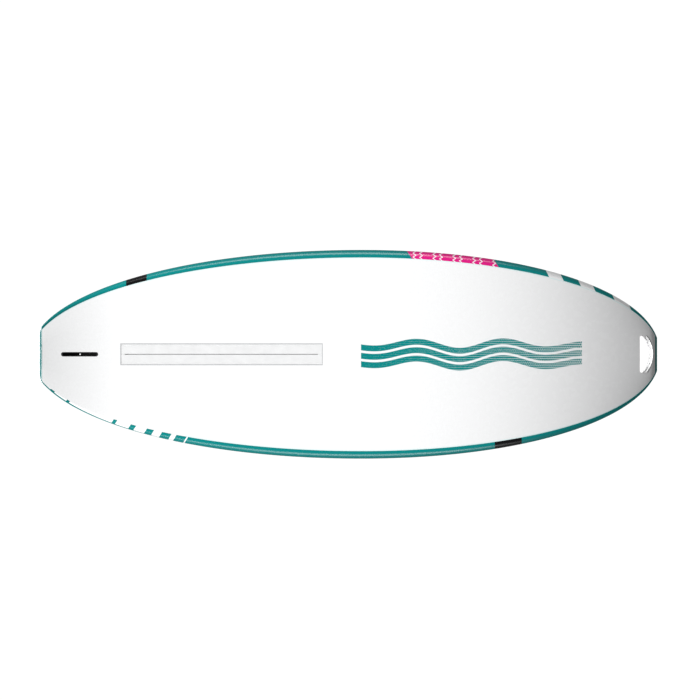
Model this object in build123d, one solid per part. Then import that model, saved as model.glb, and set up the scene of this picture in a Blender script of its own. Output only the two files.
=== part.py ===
from build123d import *
from math import cos, pi, radians, sin, sqrt
import os

os.makedirs("parts", exist_ok=True)

# Frame: x runs to the nose, y to port, z up to the deck. Lengths are millimetres.
# The board rests on its flat bottom at z = 0, and x = 0 is half way along it.

# Hull
HALF_LENGTH = 1400.0
HALF_WIDTH = 472.5
WIDEST_X = 55.0
NOSE_REACH = 1358.4
TAIL_REACH = 1497.2
TRANSOM_CORNER = 20.0
CORNER_LENGTH = 6.0
HULL_THICKNESS = 142.0
TAIL_THINNING = 74.0
NOSE_THINNING = 95.0
NOSE_LIFT = 179.0
FLOOR_TRIM = 1.0
SKIN = 4.0
STATIONS = 9
FOAM_CUTS = (-1420.0, 300.0, 750.0, 1100.0, 1420.0)
FOAM_NAMES = ("tail", "middle", "fore", "nose")
CROWN = 0.67
CHINE = 0.55
SEAM_STATIONS = (-1400, -1385, -1300, -1000, -500, 0, 500, 900, 1200, 1320, 1370, 1400)
WIDEST_LEVEL = 0.42

# Daggerboard
PIVOT_X = -184.0
PIVOT_Z = 72.0
PIN_RADIUS = 5.0
HUB_RADIUS = 50.0
BLADE_HALF = 11.0
BLADE_TIP_X = -1002.0
HEAD_RADIUS = 118.0
HEAD_FROM = 36.0
HEAD_TO = 64.0
WELL_HALF = 13.5
WELL_WALL = 4.0
WELL_FRONT_X = -129.0
WELL_REAR_X = -1021.0
WELL_CEILING = 125.0
WELL_REAR_CEILING = 94.0
CHAMBER_X = (-290.0, -78.0)
CHAMBER_FLOOR = 108.0
RECESS_X = (-1030.0, -121.0)
RECESS_HALF = 46.5
SLIT_X = (-1012.0, -138.0)
SLIT_HALF = 2.0
FRAME_X = (-312.0, -56.0)
FRAME_HALF = 40.0
FRAME_BOTTOM = 136.5
FRAME_TOP = 141.5
BLOCK_HALF = 12.0
BLOCK_OUTER = 28.0
BLOCK_Z = (60.0, 86.0)

# Fin box, mast track and vent
FIN_X = -1217.0
FIN_SLOT_LENGTH = 168.0
FIN_SLOT_WIDTH = 20.0
FIN_BOX_TOP = 66.0
FIN_CAVITY_TOP = 58.0
FIN_BOLT_RADIUS = 3.3
TRACK_X = (-20.0, 250.0)
TRACK_BOTTOM = 108.0
NUT_X = 120.0
NUT_BORE = 4.0
VENT_X = 345.0

# Nose handle
HANDLE_X = 1349.5
HANDLE_TILT = 18.0
HANDLE_LENGTH = 64.0
HANDLE_HALF = 84.0
HANDLE_WALL = 3.0

# Deck pads and footstraps
PAD = 5.0
PAD_INSET = 75.0
STRAP_RADIUS = 64.0
WEB = 3.0
STRAP_PLACES = {
    "front_port": (-640.0, 262.0, 8.0),
    "front_starboard": (-640.0, -262.0, -8.0),
    "rear_port": (-960.0, 205.0, 15.0),
    "rear_starboard": (-960.0, -205.0, -15.0),
}
SCREW_REACH = 84.0
STRAP_LIFT = 1.6
STRAP_HALF = 25.0


def save(name, shape):
    """Write one node of the assembly."""
    shape.label = name
    export_step(shape, f"parts/{name}.step")


def block(x, y, z):
    """A box between pairs of limits."""
    size = [high - low for low, high in (x, y, z)]
    middle = [(high + low) / 2 for low, high in (x, y, z)]
    return Pos(*middle) * Box(*size)


def rod(x, y, z, radius):
    """An upright cylinder between two heights."""
    return Pos(x, y, (z[0] + z[1]) / 2) * Cylinder(radius, z[1] - z[0])


def cross_rod(x, z, y, radius):
    """A cylinder across the board between two widths."""
    turned = Rot(90, 0, 0) * Cylinder(radius, y[1] - y[0])
    return Pos(x, (y[0] + y[1]) / 2, z) * turned


def round_slot(x, length, width, z):
    """An upright prism with half-round ends."""
    face = SlotOverall(length, width)
    return Pos(x, 0, z[0]) * extrude(face, z[1] - z[0])


def side_plate(points, y):
    """A side outline of (x, z) points, thick across the board."""
    face = make_face(Polyline(*[(px, 0, pz) for px, pz in points], close=True))
    return Pos(0, y[1], 0) * extrude(face, y[1] - y[0], dir=(0, -1, 0))


# ---- Hull lines ----

def half_width(x):
    """Half the width of the board at x."""
    if x >= WIDEST_X:
        return HALF_WIDTH * (1 - ((x - WIDEST_X) / NOSE_REACH) ** 2.074) ** 0.4696
    width = HALF_WIDTH * (1 - ((WIDEST_X - x) / TAIL_REACH) ** 2.04) ** 0.4964
    corner = max(0.0, 1 - (x + HALF_LENGTH) / CORNER_LENGTH)
    return width - TRANSOM_CORNER * corner


def rocker(x):
    """Height of the bottom on the centre line."""
    return NOSE_LIFT * max(0.0, (x - 100) / 1300) ** 3 - FLOOR_TRIM


def thickness(x):
    """Thickness on the centre line."""
    if x < -450:
        return HULL_THICKNESS - TAIL_THINNING * ((-450 - x) / 950) ** 1.8
    if x > 250:
        return HULL_THICKNESS - NOSE_THINNING * ((x - 250) / 1150) ** 1.6
    return HULL_THICKNESS


def end_rounding(x):
    """How much of the thickness is left where the ends round off."""
    radius = 30.0 if x > 0 else 14.0
    past = max(0.0, (abs(x) - HALF_LENGTH + radius) / radius)
    return sqrt(1 - (0.88 * past) ** 2)


def tuck(x):
    """How far the bottom edge lies inside the widest line."""
    return 34 - (23 if x > 0 else 25) * (abs(x) / HALF_LENGTH) ** 3


def levels(x, inset):
    """Bottom, bottom edge, widest line and deck heights at x."""
    split = 0.55 if x > 0 else 0.5
    rounding = end_rounding(x)
    thick = thickness(x) * rounding
    bottom = rocker(x) + thickness(x) * split - thick * split + inset
    deck = bottom + thick - 2 * inset
    edge = bottom + (4 + 3 * max(0, x / HALF_LENGTH) ** 2) * rounding
    return bottom, edge, bottom + WIDEST_LEVEL * (deck - bottom), deck


def deck_height(x, y):
    """Height of the deck away from the centre line."""
    wide, deck = levels(x, 0)[2:]
    width = half_width(x)
    near, far = 0.0, 1.0
    for _ in range(30):
        turn = (near + far) / 2
        rest = 1 - turn
        across = width * rest * (rest * rest + 3 * rest * turn + 3 * turn * turn * (1 - CROWN))
        if across > abs(y):
            near = turn
        else:
            far = turn
    risen = 3 * rest * rest * turn * CROWN + 3 * rest * turn * turn + turn ** 3
    return wide + (deck - wide) * risen


def section(x, inset):
    """Cross-section of the hull at x, drawn as a face."""
    bottom, edge, wide, deck = levels(x, inset)
    width = half_width(x) - inset
    keel = width - tuck(x)
    drop, rise = wide - edge, deck - wide
    under = [(keel, edge), (keel + CHINE * tuck(x), edge), (width, wide - CHINE * drop)]
    under += [(width, wide)]
    over = [(width, wide), (width, wide + CROWN * rise), (width * (1 - CROWN), deck)]
    over += [(0, deck)]
    port = [Bezier(*under), Bezier(*over)]
    other = [Bezier(*[(-y, z) for y, z in reversed(curve)]) for curve in (over, under)]
    floor = Bezier((-keel, edge), (0, 2 * bottom - edge), (keel, edge))
    place = Plane(origin=(x, 0, 0), x_dir=(0, 1, 0), z_dir=(1, 0, 0))
    return place * Face(Wire(port + other + [floor]))


def hull(inset, floor):
    """The hull lines, set in by a skin and cut flat at the floor."""
    reach = HALF_LENGTH - 1.3 * inset
    turns = [pi / 2 * step / STATIONS for step in range(-STATIONS, STATIONS + 1)]
    body = loft([section(reach * sin(turn), inset) for turn in turns])
    return body - block((-1500, 1500), (-600, 600), (-50, floor))


def outline_prism(inset, x, z):
    """An upright prism that follows the outline, set in from it."""
    steps = 6
    middle, reach = (x[0] + x[1]) / 2, (x[1] - x[0]) / 2
    places = [middle - reach * cos(pi * step / steps) for step in range(steps + 1)]
    port = [(px, half_width(px) - inset, z[0]) for px in places]
    starboard = [(px, -py, pz) for px, py, pz in reversed(port)]
    sides = [Spline(*port), Line(port[-1], starboard[0])]
    sides += [Spline(*starboard), Line(starboard[-1], port[0])]
    return extrude(make_face(sides), z[1] - z[0], dir=(0, 0, 1))


def under_seam():
    """Everything below the joint line along the rails."""
    line = []
    for px in SEAM_STATIONS:
        edge, wide = levels(px, 0)[1:3]
        line.append((px, 0, (edge + wide) / 2))
    seam = Spline(*line)
    low, past = -30.0, HALF_LENGTH + 20
    tail, nose = line[0], line[-1]
    ends = Polyline(nose, (past, 0, nose[2]), (past, 0, low), (-past, 0, low), (-past, 0, tail[2]), tail)
    return extrude(make_face([seam, ends]), 600, dir=(0, 1, 0), both=True)


# ---- Daggerboard well ----

def well_outline(wall):
    """Side outline of the well, set out by a wall."""
    low = -10.0
    front, back = WELL_FRONT_X + wall, WELL_REAR_X - wall
    top = FRAME_BOTTOM if wall else HULL_THICKNESS + 20
    return [
        (front, low), (front, CHAMBER_FLOOR - wall),
        (CHAMBER_X[1] + wall, CHAMBER_FLOOR - wall), (CHAMBER_X[1] + wall, top),
        (CHAMBER_X[0] - wall, top), (CHAMBER_X[0] - wall, WELL_CEILING + wall),
        (-450.0, WELL_CEILING + wall), (back, WELL_REAR_CEILING + wall), (back, low),
    ]


def case_envelope():
    """The outside of the daggerboard case with its two flanges."""
    half = WELL_HALF + WELL_WALL
    walls = side_plate(well_outline(WELL_WALL), (-half, half))
    walls = walls - block((-1500, 0), (-100, 100), (-20, 0))
    rim = 3.0
    flange_x = (RECESS_X[0] - rim, RECESS_X[1] + rim)
    flange = block(flange_x, (-RECESS_HALF - rim, RECESS_HALF + rim), (0, 7))
    deck_flange = block(FRAME_X, (-FRAME_HALF, FRAME_HALF), (128.5, FRAME_BOTTOM))
    boss_x = (PIVOT_X - 16, PIVOT_X + 16)
    boss = block(boss_x, (-BLOCK_OUTER - 4, BLOCK_OUTER + 4), (48, FRAME_BOTTOM))
    return walls + flange + deck_flange + boss


def groove():
    """The upright grooves that take the pivot blocks and keepers."""
    x = (PIVOT_X - BLOCK_HALF, PIVOT_X + BLOCK_HALF)
    return block(x, (-BLOCK_OUTER, BLOCK_OUTER), (BLOCK_Z[0], FRAME_BOTTOM + 1))


def frame_screw_places():
    """Where the deck frame's screws stand."""
    middle = [(PIVOT_X, 36.0), (PIVOT_X, -36.0)]
    ends = [(x, y) for x in (-305.0, -63.0) for y in (-30.0, 30.0)]
    return middle + ends


def frame_screws():
    """Countersunk screws of the deck frame."""
    screws = []
    for x, y in frame_screw_places():
        shank = rod(x, y, (129.0, FRAME_TOP - 2), 2.0)
        head = Pos(x, y, FRAME_TOP - 1) * Cone(2.0, 4.0, 2)
        slot = block((x - 3, x + 3), (y - 0.5, y + 0.5), (FRAME_TOP - 0.8, FRAME_TOP))
        screws.append(shank + head - slot)
    return screws


def screw_holes():
    """Room for the deck frame's screws."""
    holes = [rod(x, y, (129.0, FRAME_TOP), 2.0) for x, y in frame_screw_places()]
    sinks = [Pos(x, y, FRAME_TOP - 1) * Cone(2.0, 4.0, 2) for x, y in frame_screw_places()]
    return Compound(children=[hole + sink for hole, sink in zip(holes, sinks)])


def daggerboard_case(envelope):
    """The moulded well that the blade folds into."""
    void = side_plate(well_outline(0), (-WELL_HALF, WELL_HALF))
    recess = block(RECESS_X, (-RECESS_HALF, RECESS_HALF), (-1, 2.8))
    body = envelope - void - recess - groove()
    return body - screw_holes()


def slot_gasket():
    """The port half of the flexible seal under the well."""
    x = (RECESS_X[0] + 0.5, RECESS_X[1] - 0.5)
    strip = block(x, (0.15, RECESS_HALF - 0.5), (0.6, 2.8))
    return strip - block(SLIT_X, (-1, SLIT_HALF), (0, 4))


def deck_frame():
    """The frame around the daggerboard's opening in the deck."""
    plate = block(FRAME_X, (-FRAME_HALF, FRAME_HALF), (FRAME_BOTTOM, FRAME_TOP))
    plate = fillet(plate.edges().filter_by(Axis.Z), 8)
    opening = block(CHAMBER_X, (-WELL_HALF, WELL_HALF), (130, 150))
    return plate - opening - screw_holes()


def pivot_block():
    """The port bearing block of the pivot pin."""
    x = (PIVOT_X - BLOCK_HALF, PIVOT_X + BLOCK_HALF)
    body = block(x, (WELL_HALF, BLOCK_OUTER), BLOCK_Z)
    return body - cross_rod(PIVOT_X, PIVOT_Z, (0, 40), PIN_RADIUS + 0.05)


def pivot_keeper():
    """The port strip that holds its bearing block down."""
    x = (PIVOT_X - BLOCK_HALF, PIVOT_X + BLOCK_HALF)
    return block(x, (WELL_HALF, BLOCK_OUTER), (BLOCK_Z[1], FRAME_BOTTOM))


def friction_pad():
    """The port rubber pad that holds the blade where it is put."""
    x = (PIVOT_X - 22, PIVOT_X + 22)
    return block(x, (BLADE_HALF + 0.1, WELL_HALF), (PIVOT_Z - 46, PIVOT_Z - 20))


def sector(radius, start, end, half):
    """A slice of a disc about the pivot, turned up from forward."""
    corners = [(0.0, 0.0)]
    for turn in (start, (start + end) / 2, end):
        corners.append((radius * cos(radians(turn)), radius * sin(radians(turn))))
    points = [(PIVOT_X + x, 0, PIVOT_Z + z) for x, z in corners]
    centre, first, middle, last = points
    edges = [Line(centre, first), ThreePointArc(first, middle, last), Line(last, centre)]
    return extrude(make_face(edges), half, dir=(0, 1, 0), both=True)


def foil(x, low, high, half):
    """A foil section with its leading edge down."""
    chord = high - low
    shape = [(0.0, 0.0), (0.03, 0.45), (0.12, 0.8), (0.33, 1.0), (0.65, 0.72), (1.0, 0.12)]
    port = [(half * wide, low + chord * along) for along, wide in shape]
    other = [(-y, z) for y, z in reversed(port)]
    nose = Spline(*other, *port[1:])
    trailing = Line(port[-1], other[0])
    place = Plane(origin=(x, 0, 0), x_dir=(0, 1, 0), z_dir=(1, 0, 0))
    return place * Face(Wire([nose, trailing]))


def blade():
    """The daggerboard blade with its hub and head, folded away."""
    low = PIVOT_Z - HUB_RADIUS
    root = foil(PIVOT_X, low, PIVOT_Z + HUB_RADIUS, BLADE_HALF - 0.8)
    middle = foil(-560.0, low, 108.0, 10.0)
    tip = foil(BLADE_TIP_X, low, 86.0, 6.5)
    span = loft([tip, middle, root])
    outline = block((BLADE_TIP_X, PIVOT_X), (-20, 20), (low, PIVOT_Z + HUB_RADIUS))
    corners = outline.edges().filter_by(Axis.Y).sort_by(Axis.X)[:2].sort_by(Axis.Z)
    outline = fillet(corners[0], 30)
    top = [(BLADE_TIP_X - 1, 60.0), (BLADE_TIP_X + 50, 90.0), (BLADE_TIP_X - 1, 90.0)]
    span = (span & outline) - side_plate(top, (-20, 20))
    hub = cross_rod(PIVOT_X, PIVOT_Z, (-BLADE_HALF, BLADE_HALF), HUB_RADIUS)
    head = sector(HEAD_RADIUS - 6, HEAD_FROM + 1, HEAD_TO - 1, BLADE_HALF)
    body = span + hub + head
    return body - cross_rod(PIVOT_X, PIVOT_Z, (-30, 30), PIN_RADIUS)


def head_grip(board):
    """The rubber cap on the daggerboard's head."""
    cap = sector(HEAD_RADIUS, HEAD_FROM, HEAD_TO, BLADE_HALF + 1.6)
    inside = cross_rod(PIVOT_X, PIVOT_Z, (-40, 40), HEAD_RADIUS - 26)
    return cap - inside - board


# ---- Fin box, mast track, vent and handle ----

def fin_box_envelope():
    """The outside of the fin box."""
    rim = round_slot(FIN_X, FIN_SLOT_LENGTH, FIN_SLOT_WIDTH, (0, SKIN))
    body = round_slot(FIN_X, FIN_SLOT_LENGTH + 14, 34, (SKIN, FIN_BOX_TOP))
    return rim + body


def fin_box(envelope):
    """The box that takes the fin's root."""
    cavity = round_slot(FIN_X, FIN_SLOT_LENGTH - 14, 13, (-1, FIN_CAVITY_TOP))
    return envelope - cavity - rod(FIN_X, 0, (50, 80), FIN_BOLT_RADIUS)


def bolt_sleeve_envelope():
    """The outside of the fin bolt's sleeve."""
    top = deck_height(FIN_X, 0) + 0.8
    return rod(FIN_X, 0, (FIN_BOX_TOP, top), 7) + rod(FIN_X, 0, (top - 4, top), 13)


def bolt_sleeve(envelope):
    """The sleeve that the fin's bolt passes down from the deck."""
    top = deck_height(FIN_X, 0) + 0.8
    seat = rod(FIN_X, 0, (top - 2.5, top + 1), 9)
    return envelope - rod(FIN_X, 0, (50, 120), FIN_BOLT_RADIUS) - seat


def track_envelope():
    """The outside of the mast track."""
    body = block(TRACK_X, (-18, 18), (TRACK_BOTTOM, FRAME_BOTTOM))
    flange_x = (TRACK_X[0] - 6, TRACK_X[1] + 6)
    return body + block(flange_x, (-24, 24), (FRAME_BOTTOM, FRAME_TOP + 0.5))


def mast_track(envelope):
    """The track with its undercut slot and loading hole."""
    slot = block((TRACK_X[0] + 12, TRACK_X[1] - 12), (-5.25, 5.25), (116, 150))
    under = block((TRACK_X[0] + 12, TRACK_X[1] - 12), (-10.5, 10.5), (116, 124))
    loading = block((TRACK_X[0] + 12, TRACK_X[0] + 42), (-10.5, 10.5), (116, 150))
    return envelope - slot - under - loading


def mast_nut():
    """The threaded nut that slides along the track."""
    plate = block((NUT_X - 13, NUT_X + 13), (-10.4, 10.4), (116.1, 123.9))
    neck = block((NUT_X - 9, NUT_X + 9), (-5.15, 5.15), (123.9, 131))
    return plate + neck - rod(NUT_X, 0, (110, 140), NUT_BORE)


def vent_top():
    """Height of the vent's rim."""
    return deck_height(VENT_X, 0) + 0.6


def vent_envelope():
    """The outside of the vent's socket."""
    return rod(VENT_X, 0, (vent_top() - 30, vent_top()), 14)


def vent_socket(envelope):
    """The threaded socket of the vent."""
    top = vent_top()
    bore = rod(VENT_X, 0, (top - 40, top), 5.0)
    return envelope - bore - rod(VENT_X, 0, (top - 6, top + 1), 10.0)


def vent_screw():
    """The screw that closes the vent."""
    top = vent_top()
    head = rod(VENT_X, 0, (top - 4.75, top - 0.75), 9.0)
    shank = rod(VENT_X, 0, (top - 22, top - 4.75), 4.95)
    slot = block((VENT_X - 7, VENT_X + 7), (-1, 1), (top - 2.5, top))
    return head + shank - slot


def vent_ring():
    """The rubber ring under the vent screw's head."""
    top = vent_top()
    return rod(VENT_X, 0, (top - 6, top - 4.8), 8.6) - rod(VENT_X, 0, (top - 9, top), 5.4)


def handle_prism(wall):
    """The D-shaped hand hole, square to the nose's slope."""
    tilt = radians(HANDLE_TILT)
    middle = rocker(HANDLE_X) + 2
    lean = (-sin(tilt), 0, cos(tilt))
    plane = Plane(origin=(HANDLE_X, 0, middle), x_dir=(cos(tilt), 0, sin(tilt)), z_dir=lean)
    straight = -HANDLE_LENGTH / 2 - wall
    side = HANDLE_HALF + wall
    shoulder = -3.0 + wall
    arc = ThreePointArc((shoulder, side), (HANDLE_LENGTH / 2 + wall, 0), (shoulder, -side))
    base = Polyline((shoulder, -side), (straight, -side), (straight, side), (shoulder, side))
    face = make_face([arc, base])
    face = fillet(face.vertices(), 9 + wall)
    return plane * (Pos(0, 0, -60) * extrude(face, 160))


# ---- Deck pads and footstraps ----

def strap_frame(place):
    """The placing of a strap, flat on the slope of the deck."""
    x, y, turn = place
    along = (cos(radians(turn)), sin(radians(turn)))
    ends = []
    for way in (-SCREW_REACH, SCREW_REACH):
        end = (x + way * along[0], y + way * along[1])
        ends.append(Vector(*end, deck_height(*end)))
    sides = []
    for way in (-STRAP_HALF, STRAP_HALF):
        side = (x - way * along[1], y + way * along[0])
        sides.append(Vector(*side, deck_height(*side)))
    x_dir = ends[1] - ends[0]
    z_dir = x_dir.cross(sides[1] - sides[0])
    middle = (ends[0] + ends[1]) * 0.5 + Vector(0, 0, STRAP_LIFT)
    return Plane(origin=middle, x_dir=x_dir, z_dir=z_dir)


def half_ring(inner, outer, half, clip):
    """An arch across the foot, cut off below a height."""
    ring = Rot(90, 0, 0) * (Cylinder(outer, 2 * half) - Cylinder(inner, 2 * half))
    return ring - block((-100, 100), (-60, 60), (-100, clip))


def strap_web():
    """The webbing loop that the screws hold."""
    arch = half_ring(STRAP_RADIUS, STRAP_RADIUS + WEB, STRAP_HALF, 0)
    tab = block((STRAP_RADIUS, 100), (-STRAP_HALF, STRAP_HALF), (0, WEB))
    tab = tab - rod(SCREW_REACH, 0, (-5, 10), 3)
    return arch + tab + mirror(tab, Plane.YZ)


def strap_cover(web):
    """The padded sleeve around the webbing."""
    sleeve = half_ring(STRAP_RADIUS - 4, STRAP_RADIUS + WEB + 4.5, 31, 14)
    rounded = fillet(sleeve.edges().filter_by(GeomType.CIRCLE), 2.5)
    return rounded - web


def strap_screw():
    """A domed screw of a footstrap."""
    head = Pos(SCREW_REACH, 0, WEB + 1.5) * (Sphere(9) & Pos(0, 0, 2) * Box(14, 14, 4))
    round_head = head & rod(SCREW_REACH, 0, (WEB + 1.5, WEB + 5.5), 7)
    shank = rod(SCREW_REACH, 0, (-24, WEB + 1.5), 3)
    return round_head + shank - rod(SCREW_REACH, 0, (WEB + 3.5, WEB + 8), 2)


def strap_washer():
    """A washer under a footstrap screw."""
    disc = rod(SCREW_REACH, 0, (WEB, WEB + 1.5), 11)
    return disc - rod(SCREW_REACH, 0, (-5, 10), 3)


def plug_envelope():
    """The outside of a footstrap plug in the hull."""
    return rod(SCREW_REACH, 0, (-32, 0), 13)


def at_straps(shape):
    """Copies of a piece at both ends of every footstrap."""
    pair = [shape, mirror(shape, Plane.YZ)]
    return [strap_frame(place) * piece for place in STRAP_PLACES.values() for piece in pair]


def strap_pocket():
    """The opening in the pad around a strap's end."""
    return block((56, 104), (-34, 34), (-10, 20))


def deck_pad(outer, x, openings):
    """A soft pad on the deck between two stations."""
    prism = outline_prism(PAD_INSET, x, (60.0, 240.0))
    prism = fillet(prism.edges().filter_by(Axis.Z), 25)
    return (prism & (Pos(0, 0, PAD) * outer)) - outer - openings


# ---- Assembly ----

outer = hull(0.0, 0.0)
inner = hull(SKIN, SKIN)
case_outside = case_envelope()
fin_outside = fin_box_envelope()
sleeve_outside = bolt_sleeve_envelope()
track_outside = track_envelope()
vent_outside = vent_envelope()
plugs_outside = at_straps(plug_envelope())
handle_outside = handle_prism(HANDLE_WALL)

sky = FRAME_TOP + 40
frame_room = block(FRAME_X, (-FRAME_HALF, FRAME_HALF), (FRAME_BOTTOM, sky))
track_room = block((TRACK_X[0] - 6, TRACK_X[1] + 6), (-24, 24), (FRAME_BOTTOM, sky))
fittings = [case_outside, frame_room, fin_outside, sleeve_outside, track_outside, track_room]
fittings += [vent_outside, handle_outside] + plugs_outside
track_block_box = block((-50, 280), (-60, 60), (80, 150))
fin_block_box = block((FIN_X - 112, FIN_X + 112), (-45, 45), (0, 150))

skin = outer - inner
lower = under_seam()
save("bottom_shell", (skin & lower) - fittings)
save("deck_shell", (skin - lower) - fittings)
core = inner - fittings - [track_block_box, fin_block_box]
for name, low, high in zip(FOAM_NAMES, FOAM_CUTS, FOAM_CUTS[1:]):
    save(f"foam_core_{name}", core & block((low, high), (-500, 500), (-20, 260)))
save("track_block", (inner & track_block_box) - [track_outside, track_room])
save("fin_box_block", (inner & fin_block_box) - [fin_outside, sleeve_outside])

save("daggerboard_case", daggerboard_case(case_outside))
gasket = slot_gasket()
save("slot_gasket_port", gasket)
save("slot_gasket_starboard", mirror(gasket, Plane.XZ))
save("deck_frame", deck_frame())
save("deck_frame_screws", Compound(children=frame_screws()))
for name, piece in (("blocks", pivot_block()), ("keepers", pivot_keeper())):
    save(f"pivot_{name}", Compound(children=[piece, mirror(piece, Plane.XZ)]))
pad = friction_pad()
save("friction_pads", Compound(children=[pad, mirror(pad, Plane.XZ)]))
board = blade()
save("daggerboard_blade", board)
save("daggerboard_grip", head_grip(board))
save("pivot_pin", cross_rod(PIVOT_X, PIVOT_Z, (-27.5, 27.5), PIN_RADIUS))

save("fin_box", fin_box(fin_outside))
save("fin_bolt_sleeve", bolt_sleeve(sleeve_outside))
save("mast_track", mast_track(track_outside))
save("mast_nut", mast_nut())
save("vent_socket", vent_socket(vent_outside))
save("vent_screw", vent_screw())
save("vent_ring", vent_ring())
save("nose_handle", (handle_outside - handle_prism(0)) & outer)

web = strap_web()
cover = strap_cover(web)
for name, place in STRAP_PLACES.items():
    save(f"strap_web_{name}", strap_frame(place) * web)
    save(f"strap_cover_{name}", strap_frame(place) * cover)
plug = plug_envelope() - rod(SCREW_REACH, 0, (-24, 1), 3)
save("strap_plugs", Compound(children=at_straps(plug)))
save("strap_screws", Compound(children=at_straps(strap_screw())))
save("strap_washers", Compound(children=at_straps(strap_washer())))

pockets = at_straps(strap_pocket())
frame_gap = block((-316, -52), (-44, 44), (100, 200))
track_gap = block((-30, 260), (-28, 28), (100, 200))
vent_gap = rod(VENT_X, 0, (100, 200), 19)
save("deck_pad_rear", deck_pad(outer, (-1185.0, -800.0), pockets))
save("deck_pad_middle", deck_pad(outer, (-790.0, -45.0), pockets + [frame_gap]))
save("deck_pad_front", deck_pad(outer, (-40.0, 720.0), [track_gap, vent_gap]))
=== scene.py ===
"""Windsurf board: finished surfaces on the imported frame, seen square-on from below."""
import math

import bmesh
import bpy
from mathutils import Matrix, Vector


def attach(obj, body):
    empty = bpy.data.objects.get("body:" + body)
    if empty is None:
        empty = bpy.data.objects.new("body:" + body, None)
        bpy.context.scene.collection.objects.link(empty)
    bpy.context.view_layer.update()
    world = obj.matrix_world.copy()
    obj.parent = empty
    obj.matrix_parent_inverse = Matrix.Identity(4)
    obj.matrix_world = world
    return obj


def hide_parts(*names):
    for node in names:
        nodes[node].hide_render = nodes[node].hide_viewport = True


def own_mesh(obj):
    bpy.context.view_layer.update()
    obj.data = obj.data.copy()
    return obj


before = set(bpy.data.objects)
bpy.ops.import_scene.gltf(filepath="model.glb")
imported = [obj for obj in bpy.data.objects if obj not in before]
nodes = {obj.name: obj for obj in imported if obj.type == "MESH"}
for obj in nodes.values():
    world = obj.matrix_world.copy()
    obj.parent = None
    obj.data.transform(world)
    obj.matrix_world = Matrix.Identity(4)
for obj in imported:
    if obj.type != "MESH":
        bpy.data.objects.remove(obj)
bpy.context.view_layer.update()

# Hull lines, in metres and in the frame's axes
HALF_LENGTH = 1.4
HALF_WIDTH = 0.4725
WIDEST_X = 0.055
NOSE_REACH, NOSE_BEND, NOSE_FULLNESS = 1.3584, 2.074, 0.4696
TAIL_REACH, TAIL_BEND, TAIL_FULLNESS = 1.4972, 2.04, 0.4964
TRANSOM_CORNER, CORNER_LENGTH = 0.02, 0.006
THICKNESS = 0.142
TAIL_THIN_FROM, TAIL_THIN_LOSS, TAIL_THIN_BEND = -0.45, 0.074, 1.8
NOSE_THIN_FROM, NOSE_THIN_LOSS, NOSE_THIN_BEND = 0.25, 0.095, 1.6
TUCK, NOSE_TUCK_LOSS, TAIL_TUCK_LOSS = 0.034, 0.023, 0.025
NOSE_ROUND, TAIL_ROUND, ROUND_DEPTH = 0.03, 0.014, 0.88
NOSE_SPLIT, TAIL_SPLIT = 0.55, 0.5
ROCKER_FROM, ROCKER_RISE, KEEL_DROP = 0.1, 0.179, 0.001
EDGE_LIFT, NOSE_EDGE_LIFT = 0.004, 0.003
WIDE_LEVEL = 0.42
SKIN = 0.004
CHINE, CROWN = 0.55, 0.67
HULL_STATIONS = 150
UNDER_STEPS, CHINE_STEPS, RAIL_STEPS, DECK_STEPS = 24, 12, 8, 40
SEAM_HALVINGS, DECK_HALVINGS = 30, 26
ON_CENTRE = 1e-6

# Colours, linear
WHITE = (0.93, 0.935, 0.94)
TEAL = (0.0008, 0.238, 0.235)
MAGENTA = (0.76, 0.012, 0.235)
BLACK = (0.004, 0.004, 0.0045)


# ---- Hull shape ----

def half_width(x):
    """Half the board's width at x."""
    if x >= WIDEST_X:
        return HALF_WIDTH * (1 - ((x - WIDEST_X) / NOSE_REACH) ** NOSE_BEND) ** NOSE_FULLNESS
    width = HALF_WIDTH * (1 - ((WIDEST_X - x) / TAIL_REACH) ** TAIL_BEND) ** TAIL_FULLNESS
    return width - TRANSOM_CORNER * max(0.0, 1 - (x + HALF_LENGTH) / CORNER_LENGTH)


def thickness(x):
    """Thickness on the centre line."""
    if x < TAIL_THIN_FROM:
        run = (TAIL_THIN_FROM - x) / (HALF_LENGTH + TAIL_THIN_FROM)
        return THICKNESS - TAIL_THIN_LOSS * run ** TAIL_THIN_BEND
    if x > NOSE_THIN_FROM:
        run = (x - NOSE_THIN_FROM) / (HALF_LENGTH - NOSE_THIN_FROM)
        return THICKNESS - NOSE_THIN_LOSS * run ** NOSE_THIN_BEND
    return THICKNESS


def tuck(x):
    """How far the bottom edge lies inside the widest line."""
    loss = NOSE_TUCK_LOSS if x > 0 else TAIL_TUCK_LOSS
    return TUCK - loss * (abs(x) / HALF_LENGTH) ** 3


def levels(x):
    """Bottom, bottom edge, widest line and deck heights."""
    radius, split = (NOSE_ROUND, NOSE_SPLIT) if x > 0 else (TAIL_ROUND, TAIL_SPLIT)
    past = max(0.0, (abs(x) - HALF_LENGTH + radius) / radius)
    rounding = math.sqrt(1 - (ROUND_DEPTH * past) ** 2)
    thick = thickness(x) * rounding
    climb = max(0.0, (x - ROCKER_FROM) / (HALF_LENGTH - ROCKER_FROM))
    rocker = ROCKER_RISE * climb ** 3 - KEEL_DROP
    bottom = rocker + split * (thickness(x) - thick)
    deck = bottom + thick
    edge = bottom + (EDGE_LIFT + NOSE_EDGE_LIFT * max(0, x / HALF_LENGTH) ** 2) * rounding
    return bottom, edge, bottom + WIDE_LEVEL * (deck - bottom), deck


def bezier(points, t):
    """A point on a cubic curve."""
    r = 1 - t
    weights = (r ** 3, 3 * r * r * t, 3 * r * t * t, t ** 3)
    return tuple(sum(w * p[i] for w, p in zip(weights, points)) for i in (0, 1))


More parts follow.
